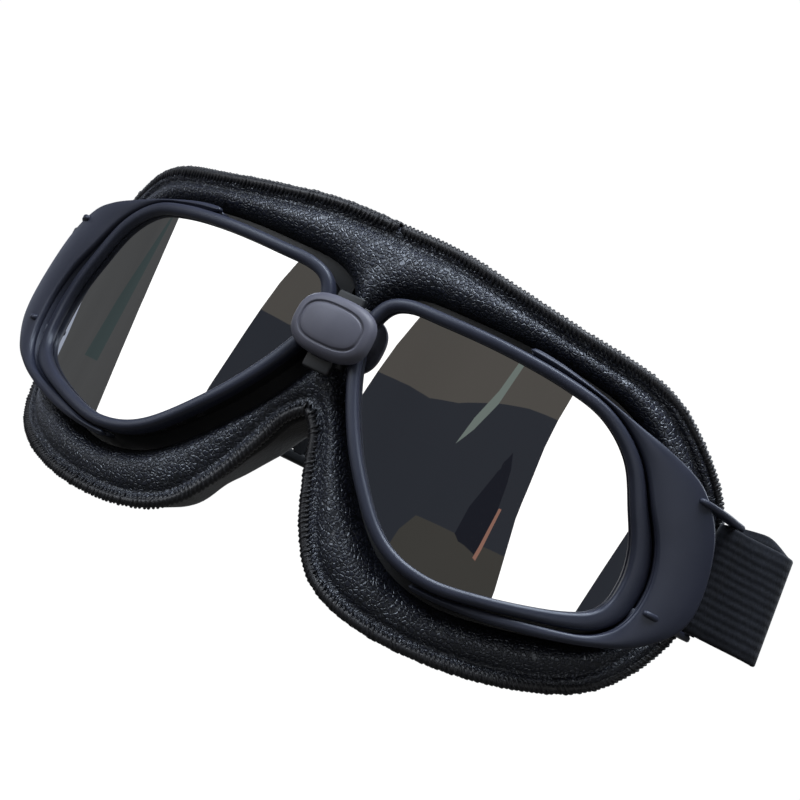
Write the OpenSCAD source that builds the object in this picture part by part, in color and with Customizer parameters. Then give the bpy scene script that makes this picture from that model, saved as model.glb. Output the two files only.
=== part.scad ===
// Retro motorcycle goggles: two lens halves hinged at the nose bridge, on a padded
// leather face mask, with an elastic head strap.
// Millimetres. -Y is forwards, +Z is up, and left and right are as seen from the front,
// with +X to the right. The origin is the middle of the face seat: the point over the
// bridge of the nose where the padding meets the face.

/* [Lens halves] */
// Distance from the middle of the goggles to each lens centre
lens_x = 45; // [44.5:0.25:45.5]
// Outward wrap of each lens centre, in degrees
wrap = 18; // [17.5:0.5:18.5]
// Radius of the upright cylinder that each lens front follows
lens_r = 82.5; // [81:0.5:84]
// Lens thickness
lens_t = 1.8; // [1.4:0.1:2]
// Width of the rim around the lens opening
rim_w = 2.7; // [2.5:0.1:2.8]
// Extra rim width at the outer end
rim_flare = 2; // [1:0.1:2.2]
// Thickness of the side wings
wing_t = 2; // [1.6:0.1:2.2]

/* [Bridge] */
// Width of the bridge cover
cover_w = 20; // [19:0.5:21]
// Height of the bridge cover
cover_h = 14; // [13.5:0.25:14.5]
// Distance of each hinge pin from the middle
hinge_x = 2.6; // [2.6:0.05:2.7]
// Radius of the hinge pins
pin_r = 0.9; // [0.8:0.05:1]

/* [Mask] */
// Distance from the lens datum back to the face seat
seat_depth = 20; // [19.5:0.5:22]
// Radius of the face seat's upright curve
face_r = 138; // [134:1:142]
// Thickness of the foam at the nose
foam_t = 6; // [5:0.5:6]
// Thickness of the fabric lining
lining_t = 1.2; // [1:0.1:1.4]

/* [Strap] */
// Width of the elastic strap
strap_w = 25; // [24:0.5:25.5]
// Thickness of the elastic strap
strap_t = 1.6; // [1.2:0.1:1.6]
// Distance from the middle to the strap's fold, right side
right_fold_x = 103.5; // [100:0.5:104]
// Distance from the middle to the strap's fold, left side
left_fold_x = 98.5; // [97:0.5:104]

/* [Hidden] */
$fn = 128;

reach = 70;           // half the size of every construction solid
curve_steps = 4;      // straight steps between two points of a drawn curve
gap = 0.15;           // between neighbouring layers
play = 0.05;          // running clearance on the hinge pins

// Depths, measured square to the lens front datum, backwards.
rim_front = -1.5;
rim_back = 2.6;
lens_front = 0.6;
lens_back = lens_front + lens_t;
cup_back = 14.5;
vent_front = 4.4;
vent_back = 6.8;
flange_front = 8;
flange_back = 9.4;
leather_front = 5;
hem_front = flange_back + gap;
hem_back = hem_front + 1.6;
ring_front = hem_back + gap;
ring_back = ring_front + 1.6;
vent_w = 1.9;
vent_pitch = 4.7;
vent_runs = [[138, 170], [20, 56]];  // lengths along the opening, below and above, that have vents
// Reaches beyond the lens opening.
groove = 1.2;
wall_t = 1.6;
flange_w = 5;
ring_w = 4.6;

cover_z = 12.8;       // middle of the bridge cover above the lens centres
cover_front = -9;
cover_back = -5.4;
hinge_y = -0.8;       // hinge axis behind the datum
knuckle_r = 2;
knuckle_h = 8.2;
ear_top = 7.4;        // ears end this far above and below the cover's middle
spine_top = 8.7;      // and the spine behind the cover this far above
spine_low = 10;       // and this far below
spine_w = 6.8;
spine_back = -3.1;
cover_wall = 1.5;     // left round the recess behind the cover
recess_w = 4;         // the recess is this much narrower than the cover, and this much lower
recess_h = 6;
screw_z = 5.8;
screw_r = 0.6;
mask_cut = 5.4;       // the moving halves of the mask start this far from the middle
foam_front_y = seat_depth - lining_t - gap - foam_t;
leather_r = 111.5;    // radius of the face between leather and foam
leather_x = 8.4;
leather_inset = 2.6;  // each layer ends this far inside the mask's edge
foam_inset = 3.2;
lining_inset = 2.8;
edge_front = 4;       // depths of the stitched edge
edge_back = 8;
edge_w = 2.5;

wing_r = 130;         // radius of the wing's front
slot_w = 1.3;         // open slot between wing and rim at the outer end
tail_x = -4;          // inner end of the wing's tails
bar_x = 89;           // strap bar behind each wing
bar_y = 36;
bar_r = 1.5;
bar_room = 0.3;
loop_r = bar_r + 0.2;  // inside of the strap's loop round the bar
strap_z = 1.8;        // height of the strap's middle
rib_t = 1.4;
rib_points = [[90.2, 27], [86, 18], [83, 16]];
tongues = [[40, -15], [32.7, 11]];  // low inner corners of the wing's tongues, square to the lens
tongue_w = 1.4;
tongue_h = 3;
back_y = 57;          // strap's back run
back_half = 51;       // half the length of its straight middle
slider_x = -22;       // slider's place on the back run
slider_w = 15;
slider_bar = 3.2;
slider_t = 1.8;
slider_clear = 0.3;
slider_rail = 2.6;
tail_l = 38;          // length of the strap's doubled tail
tack_x = 60;

// Outlines, across and up, square to the lens, clockwise.
opening_points = [[-36.6, 12.6], [-35.8, 20.1], [-31.9, 23], [-23, 23.4], [-8.4, 23.5], [6.3, 22.7],
    [16.7, 20.7], [25.1, 15.1], [30.7, 6.3], [34.5, -1], [35.8, -8.4], [34.1, -15.3], [26.7, -19.9],
    [10.5, -24.6], [-2.1, -26.2], [-13.1, -22.8], [-23.8, -12], [-31.9, 0.5]];
wing_points = [[-12, 28], [-4, 28], [4.2, 27.4], [13.6, 25.7], [24.1, 23.4], [35.6, 20.9], [43.4, 17.6],
    [49.8, 9.9], [53.1, -2.1], [52.3, -11.3], [45.7, -18.7], [38.1, -22.8], [29.9, -25.7],
    [21.6, -27.8], [13, -29.5], [4.2, -30.4], [-4, -30.6], [-12, -30.6]];
// The mask's edge, across and up, seen from the front, from the nose round to the brow.
mask_points = [[0, -6.3], [3.3, -10], [6.3, -17.8], [12, -29.6], [19.9, -38.7], [32.4, -42.9], [48.9, -43.1],
    [64.6, -39.8], [76.9, -33.5], [83.7, -24.1], [87.6, -10.5], [88, 3.1], [84.8, 17.8], [76.1, 28.8],
    [65.9, 34.7], [47.1, 36.8], [32.4, 38.7], [15.7, 41], [0, 41.4]];
nose_low = mask_points[0][1];
nose_high = mask_points[len(mask_points) - 1][1];

// Curves -------------------------------------------------------------------------------
// A point of the smooth curve through b and c, between its neighbours a and d.
function between(a, b, c, d, t) =
    0.5 * (2 * b + (c - a) * t + (2 * a - 5 * b + 4 * c - d) * t * t + (3 * b - a - 3 * c + d) * t * t * t);
// The smooth closed curve through a ring of points.
function ring(p) = let (n = len(p)) [for (i = [0:n - 1], k = [0:curve_steps - 1])
    between(p[(i + n - 1) % n], p[i], p[(i + 1) % n], p[(i + 2) % n], k / curve_steps)];
// The smooth open curve through a row of points.
function row(p) = let (n = len(p)) concat([for (i = [0:n - 2], k = [0:curve_steps - 1])
    between(p[max(i - 1, 0)], p[i], p[i + 1], p[min(i + 2, n - 1)], k / curve_steps)], [p[n - 1]]);
// The outward direction at point i of a clockwise ring.
function outward(p, i) = let (n = len(p), t = p[(i + 1) % n] - p[(i + n - 1) % n]) [-t[1], t[0]] / norm(t);
// A clockwise ring moved outwards by d.
function grown(p, d) = [for (i = [0:len(p) - 1]) p[i] + d * outward(p, i)];
// The share of the outer end at a point: 0 over the nose half, 1 at the opening's outer end.
function outer_end(q, power) = pow(max(0, q[0]) / 36, power);
// The rim's outer edge, moved out by a clearance and by a share of the side slot.
function rim_edge(extra, slot) = [for (i = [0:len(opening) - 1]) let (q = opening[i])
    q + (rim_w + extra + rim_flare * outer_end(q, 4) + slot * outer_end(q, 2)) * outward(opening, i)];
// An outline on the lens datum, as seen straight from the front.
function seen(p) = [for (q = p)
    [lens_x + q[0] * cos(wrap) - (lens_r - sqrt(lens_r * lens_r - q[0] * q[0])) * sin(wrap), q[1]]];

// Running totals of a list of lengths.
function sums(v, i = 0, total = 0) = i == len(v) ? [total] : concat([total], sums(v, i + 1, total + v[i]));

opening = ring(opening_points);
opening_run = let (n = len(opening)) sums([for (i = [0:n - 1]) norm(opening[(i + 1) % n] - opening[i])]);
// The point at a length along the opening, clockwise from its upper inner corner.
function opening_at(s) = [for (k = [0, 1])
    lookup(s, [for (i = [0:len(opening) - 1]) [opening_run[i], opening[i][k]]])];
// The right half's mask outline, closed past the middle, clockwise.
mask_edge = let (edge = row(mask_points), n = len(edge))
    concat([[-3, edge[n - 1][1]]], [for (i = [n - 1:-1:0]) edge[i]], [[-3, edge[0][1]]]);

// Placing ------------------------------------------------------------------------------
// Everything is drawn about the lens datum, then moved so that the face seat is the origin.
module seated() { translate([0, -seat_depth, 0]) children(); }
// The right half as drawn, or its mirror image on the left.
module side(s) { seated() mirror([s < 0 ? 1 : 0, 0, 0]) children(); }
// The frame square to the lens, with its origin at the lens centre.
module lens_frame() { translate([lens_x, 0, 0]) rotate([0, 0, wrap]) children(); }
// An outline carried straight through, from front to back.
module through(p) { translate([0, reach, 0]) rotate([90, 0, 0]) linear_extrude(2 * reach) polygon(p); }
// All that lies behind an upright cylinder's front, whose nearest point is at x, y.
module behind(x, y, r) { translate([x, y + r, -reach]) cylinder(r = r, h = 2 * reach); }
// All that lies behind a depth of the lens datum.
module deep(depth) { lens_frame() behind(0, depth, lens_r - depth); }
// A curved plate around the opening, its walls square to the lens.
module plate(front, back, outer, inner) {
    difference() {
        intersection() {
            deep(front);
            lens_frame() through(outer);
        }
        deep(back);
        lens_frame() through(inner);
    }
}
// The same with its walls straight back.
module sleeve(front, back, outer, inner) {
    difference() {
        intersection() {
            deep(front);
            through(seen(outer));
        }
        deep(back);
        through(seen(inner));
    }
}
// All that lies further out than x.
module beyond(x) { translate([x, -reach, -reach]) cube(2 * reach); }

// Bridge -------------------------------------------------------------------------------
// A pill lying across the nose, from y forwards by t.
module pill(w, h, t, y) {
    r = h * 0.42;
    translate([0, y, cover_z]) rotate([90, 0, 0]) linear_extrude(t) hull()
        for (x = [-1, 1], z = [-1, 1]) translate([x * (w / 2 - r), z * (h / 2 - r)]) circle(r, $fn = 32);
}

module screw_places() {
    for (z = [-1, 1]) translate([0, 0, cover_z + z * screw_z]) rotate([90, 0, 0]) children();
}

module bridge_cover() {
    color([0.2, 0.2, 0.23]) seated() difference() {
        intersection() {
            pill(cover_w, cover_h, cover_back - cover_front, cover_back);
            behind(0, cover_front, 30);
        }
        pill(cover_w - recess_w, cover_h - recess_h, cover_wall + 0.3, cover_back + 0.1);
        screw_places() cylinder(r = screw_r + gap, h = -cover_front - cover_wall, $fn = 24);
    }
}

module hinge_block() {
    front = cover_back + gap;
    ear_h = ear_top - knuckle_h / 2 - gap;
    color([0.09, 0.09, 0.11]) seated() difference() {
        union() {
            translate([-spine_w / 2, front, cover_z - spine_low])
                cube([spine_w, spine_back - front, spine_top + spine_low]);
            for (z = [-ear_top, knuckle_h / 2 + gap]) translate([0, 0, cover_z + z]) {
                for (x = [-1, 1]) translate([x * hinge_x, hinge_y, 0])
                    cylinder(r = knuckle_r, h = ear_h, $fn = 48);
                translate([-hinge_x, front, 0]) cube([2 * hinge_x, hinge_y + knuckle_r - front, ear_h]);
            }
        }
        for (x = [-1, 1]) translate([x * hinge_x, hinge_y, cover_z - reach])
            cylinder(r = pin_r, h = 2 * reach, $fn = 48);
        screw_places() translate([0, 0, -reach]) cylinder(r = screw_r + gap, h = 2 * reach, $fn = 24);
    }
}

module bridge_screws() {
    back = hinge_y + knuckle_r;
    head_t = 0.9;
    color("silver") seated() screw_places() translate([0, 0, -back - head_t]) difference() {
        union() {
            cylinder(r = 1.3, h = head_t, $fn = 24);
            cylinder(r = screw_r, h = head_t + back - cover_front - 2, $fn = 24);
        }
        translate([0, 0, -0.1]) cylinder(r = 0.5, h = 0.6, $fn = 6);
    }
}

module hinge_pin(s) {
    color("silver") side(s) translate([hinge_x, hinge_y, cover_z - ear_top])
        cylinder(r = pin_r, h = 2 * ear_top, $fn = 48);
}

// Lens halves --------------------------------------------------------------------------
// Room for the hinge block's ears and spine.
module hinge_room() {
    room = knuckle_r + 0.35;
    room_x = 4;
    room_y = 3;
    translate([room_x - reach, room_y - reach, cover_z - ear_top - gap])
        cube([reach, reach, 2 * ear_top + 2 * gap]);
    translate([room_x - reach, spine_back + gap - reach, cover_z - spine_low - gap])
        cube([reach, reach, spine_top + spine_low + 2 * gap]);
    for (z = [-ear_top - gap, knuckle_h / 2])
        translate([hinge_x, hinge_y, cover_z + z])
            cylinder(r = room, h = ear_top + gap - knuckle_h / 2, $fn = 48);
}

module rim(s) {
    color([0.13, 0.13, 0.16]) side(s) difference() {
        union() {
            difference() {
                plate(rim_front, rim_back, rim_edge(0, 0), opening);
                plate(lens_front, rim_back + 1, grown(opening, groove), grown(opening, -3));
                hinge_room();
            }
            translate([hinge_x, hinge_y, cover_z - knuckle_h / 2]) {
                cylinder(r = knuckle_r, h = knuckle_h, $fn = 48);
                translate([0, -knuckle_r, 0]) cube([3.2, knuckle_r + 0.3, knuckle_h]);
            }
        }
        translate([hinge_x, hinge_y, cover_z - reach]) cylinder(r = pin_r + play, h = 2 * reach, $fn = 48);
    }
}

module lens(s) {
    color([0.75, 0.78, 0.82, 0.5]) side(s) difference() {
        intersection() {
            deep(lens_front);
            lens_frame() through(grown(opening, groove - gap));
        }
        deep(lens_back);
        hinge_room();
    }
}

// The eyecup: a wall behind the rim with vent notches, and the flange that holds the mask.
module eyecup(s) {
    color([0.1, 0.1, 0.12]) side(s) difference() {
        union() {
            sleeve(rim_back, cup_back, grown(opening, wall_t), opening);
            intersection() {
                sleeve(flange_front, flange_back, grown(opening, flange_w), opening);
                beyond(mask_cut);
            }
        }
        vents();
        hinge_room();
    }
}

// The outline of a vent notch at a length along the opening.
function vent(s) = let (p = opening_at(s), d = opening_at(s + 1) - p, t = d / norm(d), n = [-t[1], t[0]])
    [p - t * vent_w / 2 - n, p - t * vent_w / 2 + 4 * n, p + t * vent_w / 2 + 4 * n, p + t * vent_w / 2 - n];

module vents() {
    difference() {
        intersection() {
            deep(vent_front);
            union() for (run = vent_runs, s = [run[0]:vent_pitch:run[1]]) through(seen(vent(s)));
        }
        deep(vent_back);
    }
}

module retaining_ring(s) {
    color([0.12, 0.12, 0.14]) side(s) intersection() {
        sleeve(ring_front, ring_back, grown(opening, ring_w), grown(opening, wall_t));
        beyond(mask_cut);
    }
}

// The side wing, with the two tongues and the ribs that hold it and the strap bar.
module wing(s) {
    color([0.17, 0.17, 0.2]) side(s) {
        difference() {
            intersection() {
                lens_frame() behind(0, 0, wing_r);
                lens_frame() through(row(wing_points));
                lens_frame() translate([tail_x, 0, 0]) beyond(0);
            }
            lens_frame() behind(0, wing_t, wing_r - wing_t);
            lens_frame() through(rim_edge(gap, slot_w));
        }
        strap_bar();
        for (p = tongues) wing_tongue(p[0], p[1]);
    }
}

module strap_bar() {
    h = strap_w + 2 * bar_room;
    translate([bar_x, bar_y, strap_z - h / 2]) cylinder(r = bar_r, h = h, $fn = 32);
    for (z = [-h / 2 - rib_t, h / 2]) intersection() {
        translate([0, 0, strap_z + z]) linear_extrude(rib_t) polygon(concat([[bar_x - 1.6, bar_y - 1.2],
            [bar_x - 1.2, bar_y + 1.6], [bar_x + 1.6, bar_y + 1.2]], rib_points));
        lens_frame() behind(0, wing_t / 2, wing_r - wing_t / 2);
    }
}

module wing_tongue(x, z) {
    lens_frame() difference() {
        intersection() {
            behind(0, wing_t / 2, wing_r - wing_t / 2);
            translate([x, -reach, z]) cube([tongue_w, 2 * reach, tongue_h]);
        }
        behind(0, flange_front, lens_r - flange_front);
    }
}

// Mask ---------------------------------------------------------------------------------
// Everything behind the leather's back face, and behind the foam's.
module behind_leather(extra) { behind(leather_x, foam_front_y - gap + extra, leather_r); }
module behind_foam(extra) { behind(0, seat_depth - lining_t - gap + extra, face_r); }

// The mask's outline moved in by d, outside the opening grown by hole.
module mask_slab(d, hole) {
    difference() {
        intersection() {
            through(grown(mask_edge, -d));
            beyond(mask_cut);
        }
        through(seen(grown(opening, hole)));
    }
}

module leather(s) {
    color([0.06, 0.06, 0.07]) side(s) {
        difference() {
            intersection() {
                mask_slab(leather_inset, flange_w + 0.3);
                deep(leather_front);
            }
            behind_leather(0);
        }
        intersection() {
            sleeve(hem_front, hem_back, grown(opening, flange_w + 1), grown(opening, wall_t + gap));
            beyond(mask_cut);
        }
    }
}

module foam(s) {
    color([0.2, 0.2, 0.22]) side(s) difference() {
        intersection() {
            mask_slab(foam_inset, flange_w + 1.4);
            behind_leather(gap);
        }
        behind_foam(0);
    }
}

module lining(s) {
    color([0.1, 0.1, 0.11]) side(s) difference() {
        intersection() {
            mask_slab(lining_inset, flange_w + 0.6);
            behind_foam(gap);
        }
        behind(0, seat_depth, face_r);
    }
}

// The whip-stitched edge, as a band around the outside of the leather.
module edge_stitch(s) {
    color([0.03, 0.03, 0.04]) side(s) difference() {
        intersection() {
            mask_slab(0.2, flange_w);
            deep(edge_front);
        }
        deep(edge_back);
        through(grown(mask_edge, -edge_w));
        // Room for the strap's loop.
        translate([bar_x, bar_y, -reach]) cylinder(r = loop_r + strap_t + gap, h = 2 * reach, $fn = 48);
    }
}

// The middle of the mask, over the bridge of the nose, which gives as the halves swing.
module nose_block(front, back, low, high) {
    w = mask_cut - gap;
    seated() translate([-w, front, low]) cube([2 * w, back - front, high - low]);
}
module nose_leather() {
    inset = leather_inset + gap;
    back = foam_front_y - gap;
    color([0.06, 0.06, 0.07]) nose_block(leather_front, back, nose_low + inset, nose_high - inset);
}
module nose_foam() {
    back = seat_depth - lining_t - gap;
    color([0.2, 0.2, 0.22]) nose_block(foam_front_y, back, nose_low + foam_inset, nose_high - foam_inset);
}
module nose_lining() {
    front = seat_depth - lining_t;
    color([0.1, 0.1, 0.11]) nose_block(front, seat_depth, nose_low + lining_inset, nose_high - lining_inset);
}
module nose_edge_stitch() {
    color([0.03, 0.03, 0.04]) for (z = [nose_low + 0.1, nose_high - edge_w - 0.1])
        nose_block(edge_front + 2, edge_back + 1, z, z + edge_w);
}

// Strap --------------------------------------------------------------------------------
// A strip of even thickness along a smooth curve, seen from above.
function strip(p, t) = let (q = row(p), n = len(q), side = [for (i = [0:n - 1])
    let (d = q[min(i + 1, n - 1)] - q[max(i - 1, 0)]) [-d[1], d[0]] / norm(d)])
    concat([for (i = [0:n - 1]) q[i] + t / 2 * side[i]], [for (i = [n - 1:-1:0]) q[i] - t / 2 * side[i]]);

module strap_end(s) {
    fold = s < 0 ? left_fold_x : right_fold_x;
    line = [[bar_x + loop_r + 0.6, bar_y + 1], [fold - 4, 38.6], [fold - 1.2, 40.2], [fold - 0.8, 42.4],
        [fold - 2.8, 44.6], [fold - 8, 47.8], [85, 52.2], [75, 55.2], [63, 56.7], [back_half + gap, back_y]];
    color([0.07, 0.07, 0.09]) side(s) translate([0, 0, strap_z - strap_w / 2]) difference() {
        union() {
            linear_extrude(strap_w) polygon(strip(line, strap_t));
            translate([bar_x, bar_y, 0]) cylinder(r = loop_r + strap_t, h = strap_w, $fn = 48);
        }
        translate([bar_x, bar_y, -1]) cylinder(r = loop_r, h = strap_w + 2, $fn = 48);
    }
}

module strap_bartack(s) {
    color([0.02, 0.02, 0.03]) side(s) for (i = [-2:2])
        translate([tack_x, back_y - 0.1 + strap_t / 2, strap_z + 4 * i - 1.3])
            rotate([0, 0, -4]) cube([1, 0.5, 2.6]);
}

module strap_back() {
    color([0.07, 0.07, 0.09]) seated() translate([-back_half, back_y - strap_t / 2, strap_z - strap_w / 2])
        cube([2 * back_half, strap_t, strap_w]);
}

// The strap's loose end, doubled back from the slider along the inside of the run.
module strap_tail() {
    color([0.07, 0.07, 0.09]) seated() translate([2, back_y - 1.5 * strap_t - gap, strap_z - strap_w / 2])
        cube([tail_l, strap_t, strap_w]);
}

// A three-bar slider: two bars outside the strap and one inside it, joined above and below.
module strap_slider() {
    inside = strap_w + 2 * slider_clear;
    depth = strap_t + 2 * slider_clear + 2 * slider_t;
    color([0.05, 0.05, 0.06]) seated() translate([slider_x, back_y, strap_z]) {
        for (z = [-inside / 2 - slider_rail, inside / 2])
            translate([-slider_w / 2, -depth / 2, z]) cube([slider_w, depth, slider_rail]);
        for (x = [-slider_w / 2, slider_w / 2 - slider_bar])
            translate([x, depth / 2 - slider_t, -inside / 2]) cube([slider_bar, slider_t, inside]);
        translate([-slider_bar / 2, -depth / 2, -inside / 2]) cube([slider_bar, slider_t, inside]);
    }
}

bridge_cover();
hinge_block();
bridge_screws();
hinge_pin(-1);  // left_hinge_pin
hinge_pin(1);  // right_hinge_pin
nose_leather();
nose_foam();
nose_lining();
nose_edge_stitch();
strap_back();
strap_tail();
strap_slider();
rim(-1);  // left_rim
lens(-1);  // left_lens
eyecup(-1);  // left_eyecup
retaining_ring(-1);  // left_retaining_ring
wing(-1);  // left_wing
leather(-1);  // left_leather
foam(-1);  // left_foam
lining(-1);  // left_lining
edge_stitch(-1);  // left_edge_stitch
strap_end(-1);  // left_strap_end
strap_bartack(-1);  // left_strap_bartack
rim(1);  // right_rim
lens(1);  // right_lens
eyecup(1);  // right_eyecup
retaining_ring(1);  // right_retaining_ring
wing(1);  // right_wing
leather(1);  // right_leather
foam(1);  // right_foam
lining(1);  // right_lining
edge_stitch(1);  // right_edge_stitch
strap_end(1);  // right_strap_end
strap_bartack(1);  // right_strap_bartack
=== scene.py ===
"""Looks for the retro motorcycle goggles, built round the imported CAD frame.

Lengths are millimetres measured from the lens datum, as in part.scad: x to the right,
y backwards, z up. put() turns them into metres about the face seat. Every shape is drawn
for the right half and mirrored for the left.
"""
import math

import bpy
import numpy as np
from mathutils import Matrix, Vector, noise


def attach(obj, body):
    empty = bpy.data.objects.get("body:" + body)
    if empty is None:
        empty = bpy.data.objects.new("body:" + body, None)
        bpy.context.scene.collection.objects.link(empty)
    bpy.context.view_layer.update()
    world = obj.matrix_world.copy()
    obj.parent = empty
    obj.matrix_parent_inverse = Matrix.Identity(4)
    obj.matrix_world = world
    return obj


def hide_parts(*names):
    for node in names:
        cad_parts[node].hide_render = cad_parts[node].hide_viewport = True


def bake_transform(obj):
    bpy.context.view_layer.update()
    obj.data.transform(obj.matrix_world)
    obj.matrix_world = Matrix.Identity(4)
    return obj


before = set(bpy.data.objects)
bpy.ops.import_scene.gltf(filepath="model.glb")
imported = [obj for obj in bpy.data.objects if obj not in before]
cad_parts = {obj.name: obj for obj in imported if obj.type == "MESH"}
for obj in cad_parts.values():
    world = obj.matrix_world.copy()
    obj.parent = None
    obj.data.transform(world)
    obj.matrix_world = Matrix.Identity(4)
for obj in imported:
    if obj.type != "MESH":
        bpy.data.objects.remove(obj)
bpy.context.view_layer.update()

MM = 0.001
RNG = np.random.default_rng(11)

# Sizes that repeat part.scad's.
SEAT = 20.0          # lens datum to face seat
LENS_X = 45.0
LENS_R = 82.5
WRAP = math.radians(18)
RIM_W = 2.7
RIM_FLARE = 2.0
WING_R = 130.0
SLOT = 1.3
COVER_Z = 12.8
FACE_R = 138.0
STRAP_W = 25.0
STRAP_Z = 1.8
BACK_Y = 57.0
BAR = (89.0, 36.0)
FOLD = {1: 103.5, -1: 98.5}
FOLD_LEAN = {1: 0.11, -1: 0.0}     # how much further out each fold is, lower down

OPENING = [(-36.6, 12.6), (-35.8, 20.1), (-31.9, 23), (-23, 23.4), (-8.4, 23.5), (6.3, 22.7),
           (16.7, 20.7), (25.1, 15.1), (30.7, 6.3), (34.5, -1), (35.8, -8.4), (34.1, -15.3),
           (26.7, -19.9), (10.5, -24.6), (-2.1, -26.2), (-13.1, -22.8), (-23.8, -12), (-31.9, 0.5)]
WING = [(-12, 28), (-4, 28), (4.2, 27.4), (13.6, 25.7), (24.1, 23.4), (35.6, 20.9), (43.4, 17.6),
        (49.8, 9.9), (53.1, -2.1), (52.3, -11.3), (45.7, -18.7), (38.1, -22.8), (29.9, -25.7),
        (21.6, -27.8), (13, -29.5), (4.2, -30.4), (-4, -30.6), (-12, -30.6)]
MASK = [(0, -6.3), (3.3, -10), (6.3, -17.8), (12, -29.6), (19.9, -38.7), (32.4, -42.9), (48.9, -43.1),
        (64.6, -39.8), (76.9, -33.5), (83.7, -24.1), (87.6, -10.5), (88, 3.1), (84.8, 17.8),
        (76.1, 28.8), (65.9, 34.7), (47.1, 36.8), (32.4, 38.7), (15.7, 41), (0, 41.4)]
EYE = np.array([43.0, 0.0])      # the point that the mask's spokes run out from


# Curves and small sums ------------------------------------------------------------------
def curve(points, steps, closed):
    """The smooth curve through points, as an array."""
    p = np.array(points, float)
    n = len(p)
    rows = []
    for i in range(n if closed else n - 1):
        if closed:
            a, b, c, d = p[i - 1], p[i], p[(i + 1) % n], p[(i + 2) % n]
        else:
            a, b, c, d = p[max(i - 1, 0)], p[i], p[i + 1], p[min(i + 2, n - 1)]
        for t in np.arange(steps) / steps:
            rows.append(0.5 * (2 * b + (c - a) * t + (2 * a - 5 * b + 4 * c - d) * t * t
                               + (3 * b - a - 3 * c + d) * t ** 3))
    if not closed:
        rows.append(p[-1])
    return np.array(rows)


def even(path, count, closed=False):
    """The same path with count points evenly spaced along it."""
    p = np.vstack([path, path[:1]]) if closed else path
    length = np.r_[0, np.cumsum(np.linalg.norm(np.diff(p, axis=0), axis=1))]
    at = np.linspace(0, length[-1], count + 1)[:-1] if closed else np.linspace(0, length[-1], count)
    return np.column_stack([np.interp(at, length, p[:, k]) for k in range(p.shape[1])])


def outward(p):
    """Outward directions along a clockwise ring."""
    t = np.roll(p, -1, axis=0) - np.roll(p, 1, axis=0)
    n = np.column_stack([-t[:, 1], t[:, 0]])
    return n / np.linalg.norm(n, axis=1)[:, None]


def smooth(t):
    t = np.clip(t, 0, 1)
    return t * t * (3 - 2 * t)


def distance(points, path):
    """How far each point is from a polyline."""
    a, b = path[:-1], path[1:]
    ab = b - a
    best = np.full(len(points), 1e9)
    for i in range(len(a)):
        t = np.clip((points - a[i]) @ ab[i] / max(ab[i] @ ab[i], 1e-12), 0, 1)
        best = np.minimum(best, np.linalg.norm(points - a[i] - t[:, None] * ab[i], axis=1))
    return best


def reach(path, angles):
    """How far from EYE a ray at each angle meets the closed path."""
    a = path - EYE
    b = np.roll(a, -1, axis=0)
    out = []
    for angle in angles:
        d = np.array([math.cos(angle), math.sin(angle)])
        e = b - a
        den = d[0] * e[:, 1] - d[1] * e[:, 0]
        den = np.where(abs(den) < 1e-9, 1e-9, den)
        r = (a[:, 0] * e[:, 1] - a[:, 1] * e[:, 0]) / den
        u = (a[:, 0] * d[1] - a[:, 1] * d[0]) / den
        ok = (u >= -1e-6) & (u <= 1 + 1e-6) & (r > 0)
        out.append(r[ok].max())
    return np.array(out)


def on_cylinder(xl, z, depth, radius=LENS_R):
    """A point on a lens-like upright cylinder, from its place square to the lens."""
    xl, z, depth = np.broadcast_arrays(np.asarray(xl, float), z, depth)
    heading = np.arcsin(np.clip(xl / radius, -1, 1))
    lx = (radius - depth) * np.sin(heading)
    ly = radius - (radius - depth) * np.cos(heading)
    x = LENS_X + lx * math.cos(WRAP) - ly * math.sin(WRAP)
    y = lx * math.sin(WRAP) + ly * math.cos(WRAP)
    return np.column_stack([x.ravel(), y.ravel(), z.ravel()])


def seen(p):
    """An outline on the lens datum, as seen straight from the front."""
    q = on_cylinder(p[:, 0], p[:, 1], 0.0)
    return q[:, [0, 2]]


def lumps(points, size, seed, amount=1.0):
    """Smooth noise at each point, about -amount to amount."""
    shift = Vector((seed * 7.31, seed * 3.17, seed * 1.93))
    return np.array([noise.noise(Vector(p) / size + shift) for p in points]) * amount


# Making pieces --------------------------------------------------------------------------
def put(name, points, faces, side, material):
    """A mesh piece from millimetre points about the datum; the left one is mirrored."""
    v = np.array(points, float)
    v[:, 1] -= SEAT
    if side < 0:
        v[:, 0] *= -1
        faces = [tuple(reversed(f)) for f in faces]
    mesh = bpy.data.meshes.new(name)
    mesh.from_pydata((v * MM).tolist(), [], [tuple(int(i) for i in f) for f in faces])
    mesh.validate()
    mesh.polygons.foreach_set("use_smooth", [True] * len(mesh.polygons))
    piece = bpy.data.objects.new(name, mesh)
    bpy.context.collection.objects.link(piece)
    piece.data.materials.append(material)
    return piece


def outside_in(points, faces):
    """The same faces, turned if they enclose a negative volume."""
    p = np.array(points, float)
    volume = 0.0
    for f in faces:
        for k in range(1, len(f) - 1):
            volume += np.dot(p[f[0]], np.cross(p[f[k]], p[f[k + 1]]))
    return faces if volume > 0 else [tuple(reversed(f)) for f in faces]


def loft(sections, closed=True, caps=False):
    """Points and faces of a tube through sections, each the same closed ring of points."""
    n, m = len(sections), len(sections[0])
    points = np.concatenate(sections)
    faces = []
    for i in range(n if closed else n - 1):
        j = (i + 1) % n
        for k in range(m):
            l = (k + 1) % m
            faces.append((i * m + k, i * m + l, j * m + l, j * m + k))
    if caps:
        faces.append(tuple(reversed(range(m))))
        faces.append(tuple(range((n - 1) * m, n * m)))
    return points, outside_in(points, faces)


def merge(parts):
    """Several point-and-face pairs as one."""
    points, faces, start = [], [], 0
    for p, f in parts:
        points.append(np.array(p, float))
        faces += [tuple(i + start for i in face) for face in f]
        start += len(p)
    return np.concatenate(points), faces


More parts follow.
